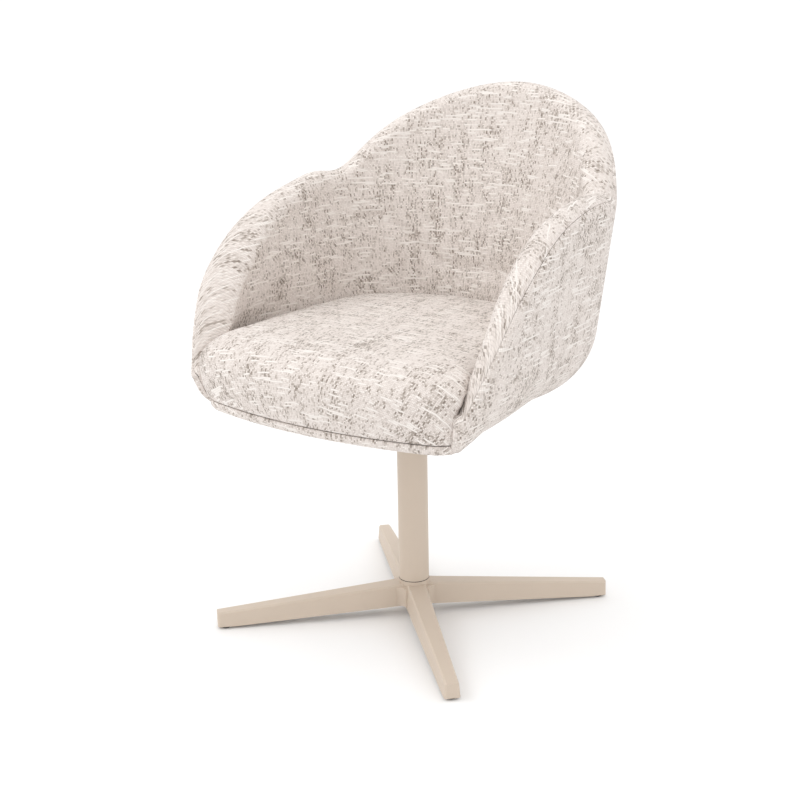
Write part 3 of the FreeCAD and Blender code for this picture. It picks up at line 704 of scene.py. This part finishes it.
def panel_sections():
    """The panel's cross sections all round: closed loops of (distance, height) per direction."""
    sections = []
    for i, (turn, (_, reach)) in enumerate(zip(foot_turns, feet)):
        buried = 1 - min(i, len(feet) - 1 - i) / band_end_sections
        if buried <= 0:
            sections.append((turn, reach, None))
            continue
        front_turn = turn if turn < math.pi / 2 else turn - 2 * math.pi
        outside = front_reach(front_turn, band_inset + 5.0)
        sections.append((turn, reach + (outside - reach) * buried, buried))
    for turn in front_turns:
        sections.append((turn + 2 * math.pi, front_reach(turn, band_inset), 1.0))
    sections.sort(key=lambda section: section[0])
    loops = []
    for turn, reach, rise in sections:
        ox, oy = opening_point(turn)
        start = math.hypot(ox, oy)
        low, high = tub_bottom, tub_bottom + cover_thickness
        inner = [(start + (reach - start) * part, low) for part in (0.0, 0.3, 0.6, 0.85)]
        if rise is None:
            edge = [(reach - 2.0, low), (reach - 0.5, low + 0.2), (reach, low + 0.9), (reach, low + 1.35),
                    (reach, low + 1.8), (reach - 0.3, low + 2.2), (reach - 0.8, low + 2.5),
                    (reach - 1.5, high), (reach - 2.0, high), (reach - 3.0, high)]
        else:
            tall = 2.0 + 13.5 * rise
            edge = [(reach - 14.0, low), (reach - 8.0, low + 0.4), (reach - 4.0, low + 1.6),
                    (reach - 1.2, low + 4.0), (reach, low + 0.55 * tall), (reach + 0.4, low + 0.8 * tall),
                    (reach - 0.4, low + tall - 0.4), (reach - 2.4, low + tall),
                    (reach - 6.0, low + tall - 0.6), (reach - 9.0, high)]
        outer = [(start + (reach - start) * part, high) for part in (0.8, 0.55, 0.3, 0.0)]
        loop = [(r * math.cos(turn), r * math.sin(turn), z) for r, z in inner + edge + outer]
        loops.append(loop)
    return loops


def loop_mesh(name, loops):
    """Closed ring-shaped form from cross sections all the way round."""
    rows = len(loops[0])
    points = [(x / 1000.0, y / 1000.0, z / 1000.0) for loop in loops for x, y, z in loop]
    faces = []
    for i in range(len(loops)):
        for j in range(rows):
            a, b = i * rows + j, i * rows + (j + 1) % rows
            c = ((i + 1) % len(loops)) * rows
            faces.append((a, b, c + (j + 1) % rows, c + j))
    mesh = bpy.data.meshes.new(name)
    mesh.from_pydata(points, [], faces)
    cloth_map = mesh.uv_layers.new(name="cloth")
    flat_map = np.array([(x, y - max(z - tub_bottom / 1000.0, 0.0)) for x, y, z in points])
    cloth_map.data.foreach_set("uv", per_corner(mesh, flat_map))
    piece = bpy.data.objects.new(name, mesh)
    scene.collection.objects.link(piece)
    return piece


underside_panel = loop_mesh("underside_panel", panel_sections())
underside_volume = make_solid(underside_panel)
print("underside", len(underside_panel.data.vertices), "points,", round(underside_volume * 1e6), "cm3")

# %% [markdown]
# ## Smooth and ride
# One level of Subdivision Surface rounds every padded piece. Each then rides on the seat and stands for its
# plain stand-in from the imported model, which is hidden.

# %% Finish the padded pieces
for piece, node, fill in ((outer_cover, "outer_upholstery", 0.7), (inner_pad, "inner_upholstery", 0.7),
                          (seat_cushion, "seat_cushion", 0.75), (underside_panel, "underside_cover", 0.6)):
    subdivide(piece)
    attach(piece, "seat")
    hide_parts(node)
    print(piece.name, len(piece.data.polygons), "faces")

# %% [markdown]
# ## The tweed
# The cloth is a coarse weave with slubs: upright warp threads in creams and warm taupes pass over two
# threads and under one, crossed by paler weft threads that swell into long bright streaks. Each thread
# gets its own tone from noise that is read per thread and changes along it, and painted shade darkens
# each thread's edges. One node group holds the weave and gives colour, roughness and height. Its
# pattern reads the pieces' cloth maps, so it follows every curve at real size.

# %% Build the weave as a node group
def new_group(name, inputs, outputs):
    """An empty node group with named inputs and outputs."""
    group = bpy.data.node_groups.new(name, "ShaderNodeTree")
    for socket, kind, value in inputs:
        made = group.interface.new_socket(name=socket, in_out="INPUT", socket_type=kind)
        if value is not None:
            made.default_value = value
    for socket, kind in outputs:
        group.interface.new_socket(name=socket, in_out="OUTPUT", socket_type=kind)
    return group, group.nodes.new("NodeGroupInput"), group.nodes.new("NodeGroupOutput")


class Wiring:
    """Short ways to add nodes to one node tree."""

    def __init__(self, tree):
        self.tree = tree

    def put(self, value, socket):
        if isinstance(value, bpy.types.NodeSocket):
            self.tree.links.new(value, socket)
        else:
            socket.default_value = value

    def math(self, operation, first, second=0.0, third=0.0):
        node = self.tree.nodes.new("ShaderNodeMath")
        node.operation = operation
        for value, socket in zip((first, second, third), node.inputs):
            self.put(value, socket)
        return node.outputs[0]

    def vector(self, x, y, z=0.0):
        node = self.tree.nodes.new("ShaderNodeCombineXYZ")
        for value, socket in zip((x, y, z), node.inputs):
            self.put(value, socket)
        return node.outputs[0]

    def noise(self, place, scale=1.0, detail=2.0, rough=0.5, dimensions="2D"):
        node = self.tree.nodes.new("ShaderNodeTexNoise")
        node.noise_dimensions = dimensions
        self.put(place, node.inputs["Vector"])
        node.inputs["Scale"].default_value = scale
        node.inputs["Detail"].default_value = detail
        node.inputs["Roughness"].default_value = rough
        return node.outputs["Fac"]

    def ramp(self, value, stops):
        node = self.tree.nodes.new("ShaderNodeValToRGB")
        while len(node.color_ramp.elements) < len(stops):
            node.color_ramp.elements.new(0.5)
        for element, (place, colour) in zip(node.color_ramp.elements, stops):
            element.position = place
            element.color = (*colour, 1.0)
        self.put(value, node.inputs["Fac"])
        return node.outputs["Color"]

    def mix(self, share, first, second, blend="MIX"):
        node = self.tree.nodes.new("ShaderNodeMix")
        node.data_type = "RGBA"
        node.blend_type = blend
        self.put(share, node.inputs["Factor"])
        self.put(first, node.inputs[6])
        self.put(second, node.inputs[7])
        return node.outputs[2]

    def between(self, value, low, high, to_low=0.0, to_high=1.0):
        node = self.tree.nodes.new("ShaderNodeMapRange")
        node.interpolation_type = "SMOOTHSTEP"
        self.put(value, node.inputs["Value"])
        for name, number in (("From Min", low), ("From Max", high), ("To Min", to_low), ("To Max", to_high)):
            node.inputs[name].default_value = number
        return node.outputs["Result"]


weave, weave_in, weave_out = new_group(
    "tweed_weave",
    [("Cloth", "NodeSocketVector", None), ("Thread", "NodeSocketFloat", 0.0026)],
    [("Color", "NodeSocketColor"), ("Roughness", "NodeSocketFloat"), ("Height", "NodeSocketFloat")],
)
w = Wiring(weave)
parts = weave.nodes.new("ShaderNodeSeparateXYZ")
weave.links.new(weave_in.outputs["Cloth"], parts.inputs[0])
thread = weave_in.outputs["Thread"]
wander = w.noise(weave_in.outputs["Cloth"], scale=38.0, detail=2.0)
wander = w.math("MULTIPLY_ADD", wander, 1.6, -0.8)
u = w.math("ADD", w.math("DIVIDE", parts.outputs[0], thread), wander)
v = w.math("ADD", w.math("DIVIDE", parts.outputs[1], thread), wander)
warp = w.math("FLOOR", u)
weft = w.math("FLOOR", v)
warp_side = w.math("ABSOLUTE", w.math("MULTIPLY_ADD", w.math("FRACT", u), 2.0, -1.0))
weft_side = w.math("ABSOLUTE", w.math("MULTIPLY_ADD", w.math("FRACT", v), 2.0, -1.0))
warp_tone = w.noise(w.vector(w.math("MULTIPLY", warp, 7.31), w.math("MULTIPLY", v, 0.20)),
                    detail=3.0, rough=0.62)
weft_tone = w.noise(w.vector(w.math("MULTIPLY_ADD", weft, 5.17, 310.0), w.math("MULTIPLY", u, 0.15)),
                    detail=3.0, rough=0.62)
slub = w.between(w.noise(w.vector(w.math("MULTIPLY_ADD", weft, 3.37, 71.0), w.math("MULTIPLY", u, 0.055)),
                         detail=1.0), 0.61, 0.67)
band_across = w.noise(w.vector(w.math("MULTIPLY", u, 0.11), w.math("MULTIPLY", v, 0.022)), detail=2.0)
band_along = w.noise(w.vector(w.math("MULTIPLY_ADD", u, 0.03, 40.0), w.math("MULTIPLY", v, 0.12)), detail=2.0)
patch = w.math("ADD", w.math("MULTIPLY_ADD", band_across, 0.34, -0.17),
               w.math("MULTIPLY_ADD", band_along, 0.22, -0.11))
warp_tone = w.math("ADD", warp_tone, patch)
weft_tone = w.math("ADD", weft_tone, w.math("MULTIPLY", patch, 0.5))
warp_colour = w.ramp(warp_tone, [
    (0.30, (0.27, 0.225, 0.19)), (0.38, (0.45, 0.39, 0.345)),
    (0.46, (0.66, 0.59, 0.545)), (0.60, (0.76, 0.69, 0.645)),
])
weft_colour = w.ramp(weft_tone, [
    (0.30, (0.36, 0.31, 0.27)), (0.39, (0.58, 0.52, 0.475)),
    (0.49, (0.74, 0.675, 0.63)), (0.64, (0.82, 0.76, 0.715)),
])
weft_colour = w.mix(slub, weft_colour, (0.84, 0.785, 0.74, 1.0))
third = w.math("FLOORED_MODULO", w.math("ADD", warp, w.math("MULTIPLY", weft, 2.0)), 3.0)
weft_over = w.math("MAXIMUM", w.math("LESS_THAN", third, 0.5), slub)
colour = w.mix(weft_over, warp_colour, weft_colour)
profiles = []
for side in (warp_side, weft_side):
    below = w.math("SUBTRACT", 1.0, w.math("POWER", side, 2.0))
    profiles.append(w.math("SQRT", w.math("MAXIMUM", below, 0.0)))
low = w.math("MINIMUM", *profiles)
# Painted shade: the colour is multiplied darker towards each thread's edges, in the valleys between threads
painted_thread_shade = w.math("MULTIPLY_ADD", low, 0.26, 0.80)
colour = w.mix(1.0, colour, w.vector(painted_thread_shade, painted_thread_shade, painted_thread_shade), "MULTIPLY")
fuzz = w.noise(weave_in.outputs["Cloth"], scale=1500.0, detail=2.0)
height = w.math("ADD", low, w.math("MULTIPLY", slub, 0.5))
height = w.math("ADD", height, w.math("MULTIPLY", fuzz, 0.35))
weave.links.new(colour, weave_out.inputs["Color"])
weave.links.new(w.math("MULTIPLY_ADD", fuzz, 0.15, 0.82), weave_out.inputs["Roughness"])
weave.links.new(height, weave_out.inputs["Height"])
print("weave nodes", len(weave.nodes))

# %% [markdown]
# The tweed material puts the group's colour, roughness and bump on one shader with a soft sheen, which
# gives wool cloth its pale edge.

# %% Make the tweed material
def group_material(name, group, inputs, bump_strength, bump_distance, source):
    """A material whose shader takes its colour, roughness and bump from a node group."""
    material = bpy.data.materials.new(name)
    material.use_nodes = True
    tree = material.node_tree
    shader = tree.nodes["Principled BSDF"]
    node = tree.nodes.new("ShaderNodeGroup")
    node.node_tree = group
    if source == "cloth":
        place = tree.nodes.new("ShaderNodeUVMap")
        place.uv_map = "cloth"
        tree.links.new(place.outputs["UV"], node.inputs[0])
    else:
        place = tree.nodes.new("ShaderNodeTexCoord")
        tree.links.new(place.outputs["Object"], node.inputs[0])
    for socket, value in inputs.items():
        node.inputs[socket].default_value = value
    bump = tree.nodes.new("ShaderNodeBump")
    bump.inputs["Strength"].default_value = bump_strength
    bump.inputs["Distance"].default_value = bump_distance
    tree.links.new(node.outputs["Color"], shader.inputs["Base Color"])
    tree.links.new(node.outputs["Roughness"], shader.inputs["Roughness"])
    tree.links.new(node.outputs["Height"], bump.inputs["Height"])
    tree.links.new(bump.outputs["Normal"], shader.inputs["Normal"])
    return material, shader


tweed, tweed_shader = group_material("tweed_cloth", weave, {"Thread": 0.0026}, 0.55, 0.0009, "cloth")
tweed_shader.inputs["Sheen Weight"].default_value = 0.18
tweed_shader.inputs["Sheen Roughness"].default_value = 0.5
tweed_shader.inputs["Specular IOR Level"].default_value = 0.2
for piece in (outer_cover, inner_pad, seat_cushion, underside_panel):
    piece.data.materials.clear()
    piece.data.materials.append(tweed)
print("tweed on 4 pieces")

# %% [markdown]
# ## Paint, plastic, steel and plywood
# The column and base carry a matt powder coat, which has a very fine uneven skin. The same kind of group,
# a colour that drifts a little with a fine grain in its height, also serves the moulded plastics, the
# rubber ring and the zinc-plated steel, each with its own values.

# %% Build the coated finish
coat, coat_in, coat_out = new_group(
    "even_finish",
    [("Place", "NodeSocketVector", None), ("Tint", "NodeSocketColor", (0.5, 0.5, 0.5, 1.0)),
     ("Drift", "NodeSocketFloat", 0.05), ("Matt", "NodeSocketFloat", 0.5), ("Grain", "NodeSocketFloat", 900.0)],
    [("Color", "NodeSocketColor"), ("Roughness", "NodeSocketFloat"), ("Height", "NodeSocketFloat")],
)
w = Wiring(coat)
broad = w.noise(coat_in.outputs["Place"], scale=22.0, detail=3.0, dimensions="3D")
fine_node = coat.nodes.new("ShaderNodeTexNoise")
coat.links.new(coat_in.outputs["Place"], fine_node.inputs["Vector"])
coat.links.new(coat_in.outputs["Grain"], fine_node.inputs["Scale"])
fine_node.inputs["Detail"].default_value = 3.0
fine = fine_node.outputs["Fac"]
lift = w.math("MULTIPLY_ADD", w.math("SUBTRACT", broad, 0.5), coat_in.outputs["Drift"], 1.0)
colour = w.mix(1.0, coat_in.outputs["Tint"], w.vector(lift, lift, lift), "MULTIPLY")
coat.links.new(colour, coat_out.inputs["Color"])
rough = w.math("ADD", coat_in.outputs["Matt"], w.math("MULTIPLY_ADD", fine, 0.12, -0.06))
coat.links.new(rough, coat_out.inputs["Roughness"])
coat.links.new(fine, coat_out.inputs["Height"])

finishes = {
    "taupe_paint": ((0.585, 0.490, 0.400, 1.0), 0.06, 0.50, 1400.0, 0.0, 0.10),
    "black_plastic": ((0.022, 0.022, 0.023, 1.0), 0.20, 0.45, 1800.0, 0.0, 0.15),
    "zinc_steel": ((0.58, 0.58, 0.57, 1.0), 0.15, 0.32, 600.0, 1.0, 0.08),
    "seal_rubber": ((0.045, 0.038, 0.032, 1.0), 0.20, 0.70, 1500.0, 0.0, 0.15),
    "nylon": ((0.74, 0.71, 0.62, 1.0), 0.08, 0.40, 900.0, 0.0, 0.10),
    "black_paint": ((0.030, 0.030, 0.031, 1.0), 0.15, 0.42, 1200.0, 0.0, 0.12),
    "shell_plastic": ((0.075, 0.075, 0.078, 1.0), 0.15, 0.55, 500.0, 0.0, 0.20),
}
made_finishes = {}
for name, (tint, drift, matt, grain, metal, bump) in finishes.items():
    material, shader = group_material(name, coat, {"Tint": tint, "Drift": drift, "Matt": matt, "Grain": grain},
                                      bump, 0.0002, "object")
    shader.inputs["Metallic"].default_value = metal
    made_finishes[name] = material
print("finishes", sorted(made_finishes))

# %% [markdown]
# Plywood needs its own pattern: long wavy grain on the faces, from noise that is stretched along the board.

# %% Make the plywood
plywood = bpy.data.materials.new("birch_plywood")
plywood.use_nodes = True
w = Wiring(plywood.node_tree)
place = plywood.node_tree.nodes.new("ShaderNodeTexCoord")
stretch = plywood.node_tree.nodes.new("ShaderNodeMapping")
stretch.inputs["Scale"].default_value = (60.0, 5.0, 400.0)
plywood.node_tree.links.new(place.outputs["Object"], stretch.inputs["Vector"])
grain = w.noise(stretch.outputs["Vector"], detail=6.0, rough=0.6, dimensions="3D")
grain_colour = w.ramp(grain, [(0.35, (0.42, 0.27, 0.14)), (0.5, (0.60, 0.43, 0.25)), (0.7, (0.70, 0.54, 0.35))])
shader = plywood.node_tree.nodes["Principled BSDF"]
plywood.node_tree.links.new(grain_colour, shader.inputs["Base Color"])
plywood.node_tree.links.new(w.math("MULTIPLY_ADD", grain, 0.2, 0.5), shader.inputs["Roughness"])

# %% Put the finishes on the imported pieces
finish_of_slot = {
    "taupe_paint": made_finishes["taupe_paint"], "black_plastic": made_finishes["black_plastic"],
    "steel": made_finishes["zinc_steel"], "seal_rubber": made_finishes["seal_rubber"],
    "bearing_plastic": made_finishes["nylon"], "black_paint": made_finishes["black_paint"],
    "plywood": plywood, "shell_plastic": made_finishes["shell_plastic"], "tweed": tweed,
}
for part in frame["record"]["subparts"]:
    node = frame["nodes"][part["node"]]
    finish = finish_of_slot[part["material_slot"]]
    if not node.material_slots:
        node.data.materials.append(finish)
    for place in node.material_slots:
        place.material = finish
print("finished", len(frame["nodes"]), "packed pieces")
